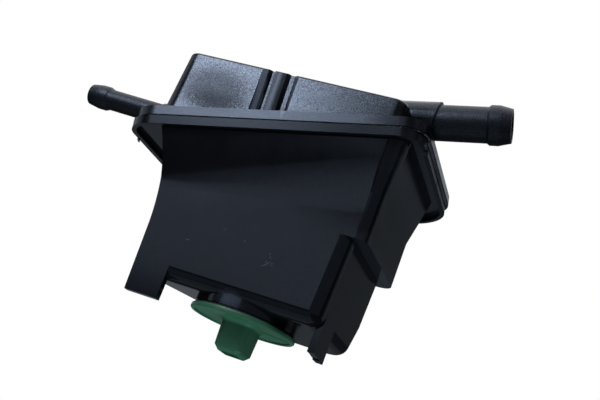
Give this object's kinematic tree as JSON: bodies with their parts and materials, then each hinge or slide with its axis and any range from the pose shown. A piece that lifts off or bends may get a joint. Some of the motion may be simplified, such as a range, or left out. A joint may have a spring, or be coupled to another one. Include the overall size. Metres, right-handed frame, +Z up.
{
  "type": "power steering reservoir",
  "caption": "Black plastic power steering fluid reservoir with a green screw cap and dipstick, a wide suction spigot, a narrow return spigot and bracket tongues.",
  "frame": {"origin": "on the filler neck's axis at the tank's flat top, midway between the two bracket tongues", "axes": "+Z up along the filler neck's axis, +X towards the return spigot, -Y out of the flat front panel"},
  "size_m": [0.2131, 0.1157, 0.147],
  "materials": {
    "upper_shell": "satin moulded black polyamide",
    "lower_shell": "satin moulded black polyamide",
    "cap": "satin green polyamide",
    "seal": "moulded black rubber",
    "vent": "pressed white felt",
    "dipstick": "moulded black plastic",
    "inner_plastic": "moulded black plastic",
    "mesh": "moulded natural nylon mesh"
  },
  "bodies": {
    "tank": {"upper_shell": "upper_shell", "lower_shell": "lower_shell", "baffle_plate": "inner_plastic", "strainer_frame": "inner_plastic", "strainer_mesh": "mesh", "return_diffuser": "inner_plastic"},
    "seal": {"cap_seal": "seal"},
    "stick": {"dipstick": "dipstick"},
    "cap": {"filler_cap": "cap", "vent_filter": "vent"}
  },
  "joints": [
    {"name": "cap_lift", "type": "slide", "parent": "tank", "child": "seal", "axis": [0, 0, 1], "range_m": [0, 0.1]},
    {"name": "cap_rise", "type": "slide", "parent": "seal", "child": "stick", "axis": [0, 0, 1], "range_m": [0, 0.0075]},
    {"name": "cap_turn", "type": "hinge", "parent": "stick", "child": "cap", "pos_m": [0, 0, 0], "axis": [0, 0, 1], "range_deg": [0, 450]}
  ],
  "couplings": [
    {"joint": "cap_rise", "follows": "cap_turn", "m_per_rad": 0.00095}
  ]
}
